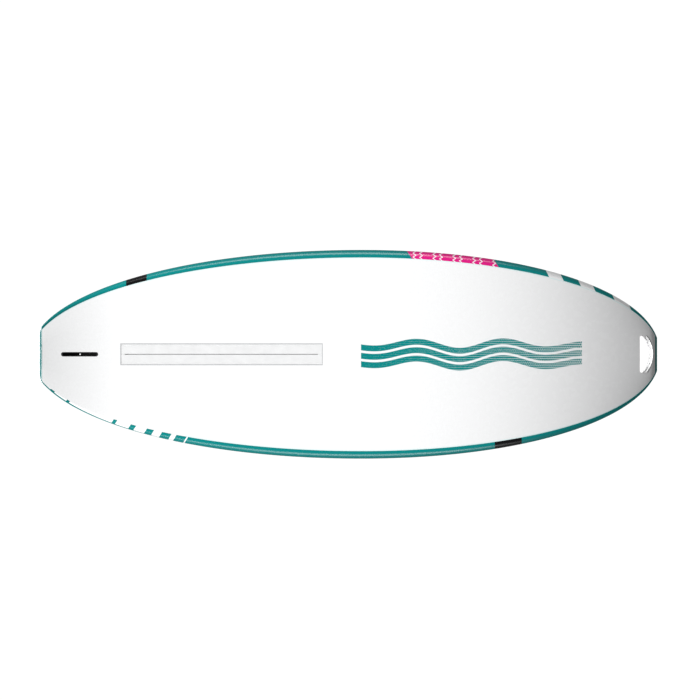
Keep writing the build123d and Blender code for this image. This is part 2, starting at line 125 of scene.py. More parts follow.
def deck_curve(x):
    """The cubic from the widest line up and in to the middle of the deck."""
    wide, deck = levels(x)[2:4]
    width = half_width(x)
    shoulder = (width, wide + CROWN * (deck - wide))
    return [(width, wide), shoulder, (width * (1 - CROWN), deck), (0, deck)]


def hull_rings(x):
    """Port halves of the bottom and deck outlines at x, from the centre outwards."""
    bottom, edge, wide, _ = levels(x)
    width = half_width(x)
    keel = width - tuck(x)
    under = [(keel, edge), (keel + CHINE * tuck(x), edge)]
    under += [(width, wide - CHINE * (wide - edge)), (width, wide)]
    over = deck_curve(x)
    near, far = 0.0, 1.0
    for _ in range(SEAM_HALVINGS):
        split = (near + far) / 2
        if bezier(under, split)[1] < (edge + wide) / 2:
            near = split
        else:
            far = split
    low = []
    for step in range(UNDER_STEPS):
        across = step / UNDER_STEPS
        low.append((keel * across, bottom + (edge - bottom) * across * across))
    low += [bezier(under, split * step / CHINE_STEPS) for step in range(CHINE_STEPS + 1)]
    high = [bezier(under, split + (1 - split) * step / RAIL_STEPS) for step in range(RAIL_STEPS)]
    high += [bezier(over, step / DECK_STEPS) for step in range(DECK_STEPS + 1)]
    return low, high


def join_rings(bm, rings):
    """Faces between closed rings of corners."""
    for a, b in zip(rings, rings[1:]):
        for i in range(len(a)):
            j = (i + 1) % len(a)
            bm.faces.new((a[i], b[i], b[j], a[j]))


def close_ends(bm, rings):
    """Faces over the first and last ring, with every face turned outwards."""
    bm.faces.new(rings[0])
    bm.faces.new(rings[-1])
    bmesh.ops.recalc_face_normals(bm, faces=bm.faces[:])


def grid_skin(name, rings, xs):
    """A skin over port half-rings mirrored to starboard, closed at both ends."""
    bm = bmesh.new()
    rows = []
    for x, ring in zip(xs, rings):
        other = [(-y, z) for y, z in ring if y > ON_CENTRE]
        full = other[::-1] + ring if ring[0][0] < ON_CENTRE else ring + other[::-1]
        rows.append([bm.verts.new((x, y, max(z, 0.0))) for y, z in full])
    for a, b in zip(rows, rows[1:]):
        for i in range(len(a) - 1):
            bm.faces.new((a[i], b[i], b[i + 1], a[i + 1]))
    close_ends(bm, rows)
    return to_object(bm, name)


def to_object(bm, name):
    """A linked object made of this mesh."""
    mesh = bpy.data.meshes.new(name)
    bm.to_mesh(mesh)
    bm.free()
    obj = bpy.data.objects.new(name, mesh)
    bpy.context.scene.collection.objects.link(obj)
    return obj


def prism(points, low, high, tilt=None):
    """An upright prism for cutting, over an outline of (x, y) points."""
    bm = bmesh.new()
    ends = []
    for z in (low, high):
        ends.append([bm.verts.new((x, y, z)) for x, y in points])
    count = len(points)
    for i in range(count):
        j = (i + 1) % count
        bm.faces.new((ends[0][i], ends[0][j], ends[1][j], ends[1][i]))
    bm.faces.new(ends[0][::-1])
    bm.faces.new(ends[1])
    if tilt:
        bmesh.ops.transform(bm, matrix=tilt, verts=bm.verts[:])
    bmesh.ops.recalc_face_normals(bm, faces=bm.faces[:])
    return to_object(bm, "cutter")


def rectangle(x, y):
    """Corners of a rectangle between pairs of limits."""
    return [(x[0], y[0]), (x[1], y[0]), (x[1], y[1]), (x[0], y[1])]


def stadium(centre, length, width):
    """A round-ended slot outline along x."""
    radius, steps = width / 2, 12
    points = []
    for way in (1, -1):
        middle = centre + way * (length / 2 - radius)
        for step in range(steps + 1):
            turn = math.pi * (step / steps - 0.5) + (0 if way > 0 else math.pi)
            points.append((middle + radius * math.cos(turn), radius * math.sin(turn)))
    return points


CIRCLE_STEPS = 32


def circle(x, y, radius):
    """A round outline."""
    turns = [2 * math.pi * step / CIRCLE_STEPS for step in range(CIRCLE_STEPS)]
    return [(x + radius * math.cos(turn), y + radius * math.sin(turn)) for turn in turns]


# The hand hole's D shape: its flat side, its shoulders and its bulge towards the nose
HANDLE_FLAT, HANDLE_SHOULDER, HANDLE_APEX = -0.032, -0.003, 0.032
HANDLE_SIDE, HANDLE_CORNER = 0.084, 0.009
BULGE_STEPS, CORNER_STEPS = 24, 12


def handle_outline(wall):
    """The hand hole's D shape, out from its wall, in the hole's own plane."""
    corner = HANDLE_CORNER + wall
    straight, apex = HANDLE_FLAT - wall, HANDLE_APEX + wall
    side, shoulder = HANDLE_SIDE + wall, HANDLE_SHOULDER + wall
    bulge = apex - shoulder
    radius = (side ** 2 + bulge ** 2) / (2 * bulge)
    centre = apex - radius
    inner = radius - corner
    reach = side - corner
    start = math.asin(reach / inner)
    points = []
    for step in range(BULGE_STEPS + 1):
        turn = start * (1 - 2 * step / BULGE_STEPS)
        points.append((centre + radius * math.cos(turn), radius * math.sin(turn)))
    joint = centre + inner * math.cos(start)
    for step in range(1, CORNER_STEPS + 1):
        turn = -start - (math.pi / 2 - start) * step / CORNER_STEPS
        points.append((joint + corner * math.cos(turn), -reach + corner * math.sin(turn)))
    for way in (-1, 1):
        for step in range(CORNER_STEPS + 1):
            part = step / CORNER_STEPS
            turn = math.pi + (math.pi / 2) * (1 - part if way < 0 else -part)
            x, y = straight + corner + corner * math.cos(turn), way * reach
            points.append((x, y + corner * math.sin(turn)))
    for step in range(CORNER_STEPS):
        turn = math.pi / 2 - (math.pi / 2 - start) * step / CORNER_STEPS
        points.append((joint + corner * math.cos(turn), reach + corner * math.sin(turn)))
    return points


def boolean(obj, cutters, mode="DIFFERENCE"):
    """Cut, or keep the common part of, a mesh with closed cutters."""
    for cutter in cutters:
        step = obj.modifiers.new("cut", "BOOLEAN")
        step.operation, step.solver, step.object = mode, "EXACT", cutter
    return apply_all(obj)


def apply_all(obj):
    """Bake a piece's modifiers into its mesh."""
    view = bpy.context.evaluated_depsgraph_get()
    mesh = bpy.data.meshes.new_from_object(obj.evaluated_get(view))
    obj.modifiers.clear()
    obj.data = mesh
    return obj


def smooth(obj, angle=35.0):
    """Shade smooth, with edges sharper than the angle kept crisp."""
    limit = math.radians(angle)
    bm = bmesh.new()
    bm.from_mesh(obj.data)
    for face in bm.faces:
        face.smooth = True
    for edge in bm.edges:
        edge.smooth = len(edge.link_faces) == 2 and edge.calc_face_angle(0) < limit
    bm.to_mesh(obj.data)
    bm.free()
    return obj


def finish_piece(obj, slot, material, *replaced):
    """Ride on the board, take a finish and stand for CAD nodes."""
    obj.data.materials.clear()
    obj.data.materials.append(material)
    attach(obj, "board")
    if replaced:
        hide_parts(*replaced)
    return obj


# ---- Materials ----

class Graph:
    """Builds one material's nodes."""

    def __init__(self, name):
        self.material = bpy.data.materials.new(name)
        self.material.use_nodes = True
        self.tree = self.material.node_tree
        self.shader = self.tree.nodes["Principled BSDF"]
        spot = self.tree.nodes.new("ShaderNodeTexCoord")
        split = self.tree.nodes.new("ShaderNodeSeparateXYZ")
        self.place = spot.outputs["Object"]
        self.tree.links.new(self.place, split.inputs[0])
        self.x, self.y, self.z = split.outputs

    def feed(self, socket, value):
        """Link a socket's source or set its plain value."""
        if isinstance(value, bpy.types.NodeSocket):
            self.tree.links.new(value, socket)
        elif isinstance(value, tuple):
            socket.default_value = (*value, 1.0)
        else:
            socket.default_value = value

    def calc(self, operation, *values):
        """A maths node."""
        node = self.tree.nodes.new("ShaderNodeMath")
        node.operation = operation
        for socket, value in zip(node.inputs, values):
            self.feed(socket, value)
        return node.outputs[0]

    def inside(self, value, low, high):
        """One where the value lies between two limits."""
        above = self.calc("GREATER_THAN", value, low)
        return self.calc("MULTIPLY", above, self.calc("LESS_THAN", value, high))

    def any_of(self, masks):
        """One where any mask is one."""
        total = masks[0]
        for mask in masks[1:]:
            total = self.calc("MAXIMUM", total, mask)
        return total

    def blend(self, factor, first, second):
        """A mix of two colours."""
        node = self.tree.nodes.new("ShaderNodeMix")
        node.data_type = "RGBA"
        self.feed(node.inputs[0], factor)
        self.feed(node.inputs[6], first)
        self.feed(node.inputs[7], second)
        return node.outputs[2]

    def noise(self, scale, detail=3.0, stretch=(1.0, 1.0, 1.0)):
        """Noise over object space, stretched along the axes."""
        mapping = self.tree.nodes.new("ShaderNodeMapping")
        mapping.inputs["Scale"].default_value = stretch
        self.tree.links.new(self.place, mapping.inputs["Vector"])
        node = self.tree.nodes.new("ShaderNodeTexNoise")
        node.inputs["Scale"].default_value = scale
        node.inputs["Detail"].default_value = detail
        self.tree.links.new(mapping.outputs[0], node.inputs["Vector"])
        return node.outputs[0]

    def wave(self, scale, axis, distortion=0.0):
        """Parallel ribs along an axis."""
        node = self.tree.nodes.new("ShaderNodeTexWave")
        node.bands_direction = axis
        node.inputs["Scale"].default_value = scale
        node.inputs["Distortion"].default_value = distortion
        self.tree.links.new(self.place, node.inputs["Vector"])
        return node.outputs["Fac"]

    def ranged(self, value, low, high):
        """A 0 to 1 value spread over a range."""
        return self.calc("MULTIPLY_ADD", value, high - low, low)

    def relief(self, height, depth, strength=1.0):
        """Bump from a height in units of depth."""
        node = self.tree.nodes.new("ShaderNodeBump")
        node.inputs["Strength"].default_value = strength
        node.inputs["Distance"].default_value = depth
        self.feed(node.inputs["Height"], height)
        self.feed(self.shader.inputs["Normal"], node.outputs[0])

    def finish(self, color, roughness, **others):
        """Set the shader's main sockets."""
        self.feed(self.shader.inputs["Base Color"], color)
        self.feed(self.shader.inputs["Roughness"], roughness)
        for key, value in others.items():
            self.feed(self.shader.inputs[key.replace("_", " ")], value)
        return self.material


def outline_distance(g):
    """How far inside the outline a point lies, as a shader value."""
    ahead = g.calc("MAXIMUM", g.calc("SUBTRACT", g.x, WIDEST_X), 0.0)
    behind = g.calc("MAXIMUM", g.calc("SUBTRACT", WIDEST_X, g.x), 0.0)
    shapes = []
    for run, reach, bend, fullness in (
        (ahead, NOSE_REACH, NOSE_BEND, NOSE_FULLNESS),
        (behind, TAIL_REACH, TAIL_BEND, TAIL_FULLNESS),
    ):
        spent = g.calc("POWER", g.calc("DIVIDE", run, reach), bend)
        left = g.calc("MAXIMUM", g.calc("SUBTRACT", 1.0, spent), 0.0)
        shapes.append(g.calc("POWER", left, fullness))
    width = g.calc("MULTIPLY", g.calc("MULTIPLY", *shapes), HALF_WIDTH)
    side = g.calc("SUBTRACT", width, g.calc("ABSOLUTE", g.y))
    return side, g.calc("SUBTRACT", HALF_LENGTH, g.calc("ABSOLUTE", g.x))


# Teal on the rails: the band's width, its blocks (middle, length) and its runs (from, to) along x
BAND, BAND_LOSS, TAIL_BAND_GAIN = 0.035, 0.024, 0.006
PORT_BLOCKS = (
    (-1.336, 0.017), (-1.267, 0.013), (-1.059, 0.016), (-0.979, 0.024),
    (-0.903, 0.032), (-0.830, 0.043), (-0.764, 0.046),
)
PORT_SOLID_FROM, PORT_SHIFT = -0.744, 0.009
STARBOARD_RUNS = ((-1.5, 0.901), (0.968, 1.048), (1.115, 1.204), (1.281, 1.5))
STARBOARD_SHIFT = 0.01
BLOCK_LEAN = 0.55
NOSE_RIM, TAIL_RIM_GAIN = 0.0095, 0.004
HAIRLINE_END, HAIRLINE_GROWTH = -0.8, 0.016
# A painted highlight: a faint pale teal line along the band's inner edge
HIGHLIGHT_WIDTH, HIGHLIGHT_FROM, HIGHLIGHT_STRENGTH, HIGHLIGHT_TEAL = 0.005, -0.74, 0.45, (0.62, 0.9, 0.9)
# Patches across the band, and the strokes on the bright one
PORT_PATCH, STARBOARD_PATCH = (0.66, 0.782), (-1.007, -0.914)
BRIGHT_PATCH, BRIGHT_LEAN = (0.262, 0.655), 0.7
ZIGZAG, ZIGZAG_SLOPE = 0.009, 1.4
STROKE_PITCH, STROKE_SHARE = 0.03, 0.2
GROUP_PITCH, GROUP_SHARE = 0.092, 0.62
# Painted shade darkening the bottom towards the tail, and how uneven white and teal are
SHADE_FROM, SHADE_RUN, WHITE_SHADE, TEAL_SHADE = -1.05, 0.35, 0.27, 0.3
WHITE_WEATHER, TEAL_WEATHER = 0.994, 0.93
WEATHER_SCALE, GRAIN_SCALE, GLOSS_SCALE = 9.0, 420.0, 30.0
GRAIN_DEPTH, COAT_ROUGH, SPECULAR = 0.0002, 0.12, 0.3
# Roughness from and to, grain and clear coat
BOTTOM_GLOSS, DECK_GLOSS = (0.22, 0.32, 0.06, 0.1), (0.4, 0.55, 0.35, 0.0)
# The wave stripes and their dots
WAVE_FROM, WAVE_TO = 0.055, 1.055
WAVE_LENGTH, WAVE_SWING, WAVE_END_SWING = 0.4, 0.022, 0.4
STRIPE_PITCH, STRIPE_HALF, STRIPES_REACH = 0.038, 0.0135, 0.054
DOT_PITCH, DOT_SIZE, DOT_LOSS = 0.0098, 0.68, 0.22


def band_width(g):
    """Width of the rail's colour band, seen from below."""
    along = g.calc("POWER", g.calc("DIVIDE", g.calc("ABSOLUTE", g.x), HALF_LENGTH), 3.0)
    tail_starboard = g.calc("LESS_THAN", g.calc("MAXIMUM", g.x, g.y), 0.0)
    loss = g.calc("MULTIPLY_ADD", tail_starboard, -TAIL_BAND_GAIN, BAND_LOSS)
    return g.calc("SUBTRACT", BAND, g.calc("MULTIPLY", along, loss))


def wave_stripes(g, fade):
    """Parallel wave stripes, swinging widest in the middle of their run, as a mask."""
    sine = g.calc("SINE", g.calc("MULTIPLY", g.x, 2 * math.pi / WAVE_LENGTH))
    middle = g.calc("MULTIPLY", g.calc("MULTIPLY", fade, g.calc("SUBTRACT", 1.0, fade)), 4.0)
    swell = g.calc("MULTIPLY_ADD", middle, 1 - WAVE_END_SWING, WAVE_END_SWING)
    path = g.calc("MULTIPLY", g.calc("MULTIPLY", sine, swell), WAVE_SWING)
    level = g.calc("SUBTRACT", g.y, path)
    fold = g.calc("PINGPONG", g.calc("ADD", level, STRIPE_PITCH), STRIPE_PITCH / 2)
    stripe = g.calc("LESS_THAN", fold, STRIPE_HALF)
    within = g.calc("LESS_THAN", g.calc("ABSOLUTE", level), STRIPES_REACH)
    stripes = g.calc("MULTIPLY", stripe, within)
    return g.calc("MULTIPLY", stripes, g.inside(g.x, WAVE_FROM, WAVE_TO))


def wave_graphic(g):
    """Wave stripes printed in dots that shrink towards the nose, as a mask."""
    fade = g.calc("DIVIDE", g.calc("SUBTRACT", g.x, WAVE_FROM), WAVE_TO - WAVE_FROM)
    row = g.calc("FLOOR", g.calc("DIVIDE", g.y, DOT_PITCH))
    shift = g.calc("MULTIPLY", g.calc("MODULO", g.calc("ABSOLUTE", row), 2.0), 0.5)
    across = g.calc("FRACT", g.calc("ADD", g.calc("DIVIDE", g.x, DOT_PITCH), shift))
    up = g.calc("FRACT", g.calc("DIVIDE", g.y, DOT_PITCH))
    squares = []
    for part in (across, up):
        off = g.calc("ABSOLUTE", g.calc("SUBTRACT", part, 0.5))
        squares.append(g.calc("POWER", off, 2.0))
    far = g.calc("SQRT", g.calc("ADD", *squares))
    dot = g.calc("LESS_THAN", far, g.calc("MULTIPLY_ADD", fade, -DOT_LOSS, DOT_SIZE))
    return g.calc("MULTIPLY", wave_stripes(g, fade), dot)


def teal_mask(g, side, end, band, to_port, to_starboard):
    """Teal on both rails and round both ends, broken up on port aft and on starboard forward."""
    lean = g.calc("SUBTRACT", g.x, g.calc("MULTIPLY", side, BLOCK_LEAN))
    blocks = [g.calc("GREATER_THAN", lean, PORT_SOLID_FROM)]
    for middle, length in PORT_BLOCKS:
        start = middle - PORT_SHIFT - length / 2
        blocks.append(g.inside(lean, start, start + length))
    past = g.calc("MAXIMUM", g.calc("SUBTRACT", HAIRLINE_END, g.x), 0.0)
    hairline = g.calc("LESS_THAN", side, g.calc("MULTIPLY", past, HAIRLINE_GROWTH))
    port = g.calc("MAXIMUM", g.calc("MULTIPLY", band, g.any_of(blocks)), hairline)
    runs = []
    for low, high in STARBOARD_RUNS:
        runs.append(g.inside(lean, low - STARBOARD_SHIFT, high - STARBOARD_SHIFT))
    starboard = g.calc("MULTIPLY", band, g.any_of(runs))
    rim_width = g.calc("MULTIPLY_ADD", g.calc("LESS_THAN", g.x, 0.0), TAIL_RIM_GAIN, NOSE_RIM)
    rim = g.calc("LESS_THAN", end, rim_width)
    port, starboard = g.calc("MULTIPLY", port, to_port), g.calc("MULTIPLY", starboard, to_starboard)
    return g.any_of([port, starboard, rim])


def patches(g, color, side, band, to_port, to_starboard):
    """A black patch on each rail, and a bright one with zigzag strokes on starboard."""
    port = g.calc("MULTIPLY", g.inside(g.x, *PORT_PATCH), to_port)
    starboard = g.calc("MULTIPLY", g.inside(g.x, *STARBOARD_PATCH), to_starboard)
    color = g.blend(g.calc("MULTIPLY", g.calc("MAXIMUM", port, starboard), band), color, BLACK)
    lean = g.calc("SUBTRACT", g.x, g.calc("MULTIPLY", side, BRIGHT_LEAN))
    starboard_band = g.calc("MULTIPLY", band, to_starboard)
    bright = g.calc("MULTIPLY", g.inside(lean, *BRIGHT_PATCH), starboard_band)
    color = g.blend(bright, color, MAGENTA)
    return g.blend(g.calc("MULTIPLY", bright, chevrons(g, side)), color, WHITE)


def hull_paint(name, graphic):
    """White hull with teal rails and patches, and the wave graphic and painted shade towards the tail where
    they are wanted.
    """
    g = Graph(name)
    side, end = outline_distance(g)
    width = band_width(g)
    band = g.calc("LESS_THAN", side, width)
    to_port = g.calc("GREATER_THAN", g.y, 0.0)
    to_starboard = g.calc("SUBTRACT", 1.0, to_port)
    weather = g.noise(WEATHER_SCALE, 4.0)
    white = g.blend(weather, WHITE, tuple(c * WHITE_WEATHER for c in WHITE))
    # Painted highlight along the band's inner edge
    edge = g.inside(side, width, g.calc("ADD", width, HIGHLIGHT_WIDTH))
    beside_teal = g.any_of([g.calc("GREATER_THAN", g.x, HIGHLIGHT_FROM), to_starboard])
    edge_highlight = g.calc("MULTIPLY", g.calc("MULTIPLY", edge, beside_teal), HIGHLIGHT_STRENGTH)
    color = g.blend(edge_highlight, white, HIGHLIGHT_TEAL)
    teal = teal_mask(g, side, end, band, to_port, to_starboard)
    color = g.blend(teal, color, g.blend(weather, TEAL, tuple(c * TEAL_WEATHER for c in TEAL)))
    color = patches(g, color, side, band, to_port, to_starboard)
    if graphic:
        color = g.blend(wave_graphic(g), color, TEAL)
        # Painted shade, darkening the bottom's colours towards the tail
        color = painted_tail_shade(g, color, teal)
    low, high, grain, coat = BOTTOM_GLOSS if graphic else DECK_GLOSS
    g.relief(g.noise(GRAIN_SCALE, 2.0), GRAIN_DEPTH, grain)
    gloss = {"Coat_Weight": coat, "Coat_Roughness": COAT_ROUGH, "Specular_IOR_Level": SPECULAR}
    return g.finish(color, g.ranged(g.noise(GLOSS_SCALE, 5.0), low, high), **gloss)


def painted_tail_shade(g, color, teal):
    """Painted shade: the bottom's colours darken a little towards the tail, the teal most."""
    run = g.calc("DIVIDE", g.calc("SUBTRACT", SHADE_FROM, g.x), SHADE_RUN)
    run = g.calc("MINIMUM", g.calc("MAXIMUM", run, 0.0), 1.0)
    depth = g.calc("MULTIPLY_ADD", teal, TEAL_SHADE, WHITE_SHADE)
    node = g.tree.nodes.new("ShaderNodeMix")
    node.data_type, node.blend_type = "RGBA", "MULTIPLY"
    g.feed(node.inputs[0], g.calc("MULTIPLY", run, depth))
    g.feed(node.inputs[6], color)
    g.feed(node.inputs[7], (0.0, 0.0, 0.0))
    return node.outputs[2]


def chevrons(g, side):
    """Short white zigzag strokes over the bright patch."""
    fold = g.calc("PINGPONG", side, ZIGZAG)
    slant = g.calc("ADD", g.x, g.calc("MULTIPLY", fold, ZIGZAG_SLOPE))
    stroke = g.calc("LESS_THAN", g.calc("FRACT", g.calc("DIVIDE", slant, STROKE_PITCH)), STROKE_SHARE)
    group = g.calc("LESS_THAN", g.calc("FRACT", g.calc("DIVIDE", g.x, GROUP_PITCH)), GROUP_SHARE)
    return g.calc("MULTIPLY", stroke, group)


def plain(name, color, rough, grain=300.0, depth=0.0002, strength=0.25, vary=0.08, **others):
    """A moulded or metal surface with fine grain and uneven gloss."""
    g = Graph(name)
    darker = tuple(c * (1 - 2 * vary) for c in color)
    tint = g.blend(g.noise(25.0, 4.0), color, darker)
    g.relief(g.noise(grain, 3.0), depth, strength)
    return g.finish(tint, g.ranged(g.noise(60.0, 4.0), rough - 0.06, rough + 0.08), **others)


FOAM_CELL, FOAM_CUT = 0.011, 0.0011
FOAM_DARK, FOAM_PALE, FOAM_GROOVE_SHADE = (0.055, 0.06, 0.065), (0.095, 0.1, 0.105), (0.012, 0.013, 0.014)


def foam_rubber(name):
    """Closed-cell deck foam with fine slanted grooves both ways, and painted shade in the grooves."""
    g = Graph(name)
    grooves = []
    for way in (1.0, -1.0):
        run = g.calc("MULTIPLY_ADD", g.y, way, g.x)
        cell = g.calc("PINGPONG", run, FOAM_CELL)
        grooves.append(g.calc("LESS_THAN", cell, FOAM_CUT))
    groove = g.any_of(grooves)
    speckle = g.noise(900.0, 2.0)
    tint = g.blend(speckle, FOAM_DARK, FOAM_PALE)
    # Painted shade: the grooves are darkened in colour as well as sunk by the bump
    tint = g.blend(g.calc("MULTIPLY", groove, 0.75), tint, FOAM_GROOVE_SHADE)
    lift = g.calc("SUBTRACT", g.calc("MULTIPLY", speckle, 0.15), groove)
    g.relief(lift, 0.0012, 0.9)
    return g.finish(tint, g.ranged(speckle, 0.75, 0.92))


def woven(name, color, pitch):
    """Woven cloth with ribs both ways, and painted shade in the hollows between them."""
    g = Graph(name)
    warp, weft = g.wave(0.5 / pitch, "X", 0.6), g.wave(0.5 / pitch, "Y", 0.6)
    weave = g.calc("MULTIPLY", warp, weft)
    # Painted shade: the colour darkens in the hollows between the ribs
    tint = g.blend(weave, tuple(c * 0.45 for c in color), color)
    tint = g.blend(g.noise(40.0, 5.0), tint, tuple(c * 0.8 for c in color))
    g.relief(weave, 0.0005, 0.8)
    return g.finish(tint, g.ranged(weave, 0.95, 0.8), Sheen_Weight=0.3)


# ---- Pieces ----

def stations(count):
    """Lengthwise stations, close together at both ends."""
    return [-HALF_LENGTH * math.cos(math.pi * step / count) for step in range(count + 1)]


# Openings in the skins, and the heights each is cut between
FLANGE_X, FLANGE_Y = (-1.033, -0.118), (-0.0495, 0.0495)
FIN_X, FIN_LENGTH, FIN_WIDTH, BOLT_RADIUS = -1.217, 0.168, 0.020, 0.013
HANDLE_PLACE = (1.3495, 0.0, 0.15994)
HANDLE_TILT, HANDLE_WALL = 18.0, 0.003
FRAME_X, FRAME_Y = (-0.312, -0.056), (-0.04, 0.04)
TRACK_X, TRACK_Y = (-0.026, 0.256), (-0.024, 0.024)
VENT_X, VENT_RADIUS = 0.345, 0.014
BOTTOM_CUT, DECK_CUT, BOLT_CUT, HANDLE_CUT = (-0.02, 0.03), (0.12, 0.16), (0.05, 0.2), (-0.12, 0.12)


def handle_plane():
    """Where the hand hole's D shape is drawn."""
    turn = Matrix.Rotation(-math.radians(HANDLE_TILT), 4, "Y")
    return Matrix.Translation(HANDLE_PLACE) @ turn


def hull_skin(name, low_side, cutters):
    """One half of the hull's skin, with its real thickness."""
    xs = stations(HULL_STATIONS)
    rings = [hull_rings(x)[0 if low_side else 1] for x in xs]
    skin = grid_skin(name, rings, xs)
    shell = skin.modifiers.new("skin", "SOLIDIFY")
    shell.thickness, shell.offset = SKIN, -1
    apply_all(skin)
    boolean(skin, cutters)
    for cutter in cutters:
        bpy.data.objects.remove(cutter)
    return smooth(skin, 30)


def handle_cutter():
    """The hand hole with room for its lining."""
    return prism(handle_outline(HANDLE_WALL), *HANDLE_CUT, handle_plane())


def build_hull(bottom_paint, deck_paint):
    """The bottom and deck skins with their openings."""
    bottom_cuts = [
        handle_cutter(),
        prism(rectangle(FLANGE_X, FLANGE_Y), *BOTTOM_CUT),
        prism(stadium(FIN_X, FIN_LENGTH, FIN_WIDTH), *BOTTOM_CUT),
    ]
    bottom = hull_skin("bottom_skin", True, bottom_cuts)
    finish_piece(bottom, "hull_bottom", bottom_paint, "bottom_shell")
    # Out of bounced light, so that the floor doesn't glow under the board
    bottom.visible_diffuse = False
    deck_cuts = [
        handle_cutter(),
        prism(rectangle(FRAME_X, FRAME_Y), *DECK_CUT),
        prism(rectangle(TRACK_X, TRACK_Y), *DECK_CUT),
        prism(circle(VENT_X, 0.0, VENT_RADIUS), *DECK_CUT),
        prism(circle(FIN_X, 0.0, BOLT_RADIUS), *BOLT_CUT),
    ]
    deck = hull_skin("deck_skin", False, deck_cuts)
    finish_piece(deck, "hull_deck", deck_paint, "deck_shell")


def deck_height(x, y):
    """Height of the deck surface at a place."""
    over = deck_curve(x)
    near, far = 0.0, 1.0
    for _ in range(DECK_HALVINGS):
        middle = (near + far) / 2
        if bezier(over, middle)[0] > abs(y):
            near = middle
        else:
            far = middle
    return bezier(over, near)[1]


# ---- Deck pads ----

PAD_THICK, PAD_INSET, PAD_CORNER = 0.005, 0.075, 0.025
PAD_GLUE = 0.0001
SHEET_SPARE_X, SHEET_INSET, LEVEL_INSET, SHEET_STEPS = 0.004, 0.065, 0.05, 28
GROOVE_PITCH, GROOVE_WIDE, GROOVE_DEEP, GROOVE_MARGIN = 0.014, 0.003, 0.0016, 0.006
PAD_ARC_STEPS, PAD_SIDE_STEPS = 8, 30
PADS = {
    "deck_pad_rear": (-1.185, -0.800),
    "deck_pad_middle": (-0.790, -0.045),
    "deck_pad_front": (-0.040, 0.720),
}


def pad_outline(x):
    """A pad's rounded outline between two stations."""
    port = []
    for way, end in ((1, x[0]), (-1, x[1])):
        turn_x = end + way * PAD_CORNER
        turn_y = half_width(turn_x) - PAD_INSET - PAD_CORNER
        arc = []
        for step in range(PAD_ARC_STEPS + 1):
            turn = math.pi / 2 * step / PAD_ARC_STEPS
            dx, dy = PAD_CORNER * math.cos(turn), PAD_CORNER * math.sin(turn)
            arc.append((turn_x - way * dx, turn_y + dy))
        port += arc if way > 0 else arc[::-1]
        if way > 0:
            run = x[1] - x[0] - 2 * PAD_CORNER
            for step in range(1, PAD_SIDE_STEPS):
                px = x[0] + PAD_CORNER + run * step / PAD_SIDE_STEPS
                port.append((px, half_width(px) - PAD_INSET))
    return port + [(px, -py) for px, py in reversed(port)]


def groove_rows(reach):
    """Crosswise places of a grooved sheet, each with its depth."""
    rows = [(-reach, 0.0)]
    count = int((reach - GROOVE_MARGIN) / GROOVE_PITCH)
    for step in range(-count, count + 1):
        y = step * GROOVE_PITCH
        rows += [(y - GROOVE_WIDE / 2, 0.0), (y - GROOVE_WIDE / 4, GROOVE_DEEP)]
        rows += [(y + GROOVE_WIDE / 4, GROOVE_DEEP), (y + GROOVE_WIDE / 2, 0.0)]
    return rows + [(reach, 0.0)]


def grooved_sheet(name, x):
    """A grooved foam sheet that lies on the deck's curve."""
    bm = bmesh.new()
    reach = max(half_width(x[0]), half_width(x[1]), half_width((x[0] + x[1]) / 2)) - SHEET_INSET
    rows = groove_rows(reach)
    grid = []
    length = x[1] - x[0] + 2 * SHEET_SPARE_X
    for step in range(SHEET_STEPS + 1):
        px = x[0] - SHEET_SPARE_X + length * step / SHEET_STEPS
        limit = half_width(px) - LEVEL_INSET
        level = [deck_height(px, min(abs(y), limit)) for y, _ in rows]
        top = [bm.verts.new((px, y, z + PAD_THICK - d)) for (y, d), z in zip(rows, level)]
        low = [bm.verts.new((px, y, z + PAD_GLUE)) for (y, _), z in zip(rows, level)]
        grid.append(top + low[::-1])
    join_rings(bm, grid)
    half = len(rows)
    for ring in (grid[0], grid[-1]):
        for i in range(half - 1):
            bm.faces.new((ring[i], ring[i + 1], ring[2 * half - 2 - i], ring[2 * half - 1 - i]))
    bmesh.ops.recalc_face_normals(bm, faces=bm.faces[:])
    return to_object(bm, name)


def rounded_rectangle(x, y, radius):
    """A rectangle with round corners."""
    points = []
    corners = ((x[1], y[1], 0), (x[0], y[1], 1), (x[0], y[0], 2), (x[1], y[0], 3))
    for px, py, quarter in corners:
        cx = px - radius if px == x[1] else px + radius
        cy = py - radius if py == y[1] else py + radius
        for step in range(7):
            turn = math.pi / 2 * (quarter + step / 6)
            points.append((cx + radius * math.cos(turn), cy + radius * math.sin(turn)))
    return points


# Openings in the pads: how far they stand off a fitting, and the strap ends in a strap's own axes
FITTING_GAP, FITTING_CORNER, VENT_GAP = 0.004, 0.006, 0.005
STRAP_END_X, STRAP_END_Y, STRAP_END_CORNER = (0.056, 0.104), (-0.034, 0.034), 0.008
PAD_CUT, FITTING_CUT, STRAP_END_CUT = (0.05, 0.3), (0.1, 0.2), (-0.02, 0.03)


def fitting_opening(x, y):
    """A round-cornered opening a little larger than a fitting."""
    wide = [(low - FITTING_GAP, high + FITTING_GAP) for low, high in (x, y)]
    return prism(rounded_rectangle(*wide, FITTING_CORNER), *FITTING_CUT)


def strap_openings():
    """Openings round both ends of every strap."""
    end = rounded_rectangle(STRAP_END_X, STRAP_END_Y, STRAP_END_CORNER)
    cutters = []
    for place in STRAP_PLACES.values():
        for turn in (0.0, math.pi):
            matrix = strap_matrix(place) @ Matrix.Rotation(turn, 4, "Z")
            cutters.append(prism(end, *STRAP_END_CUT, matrix))
    return cutters


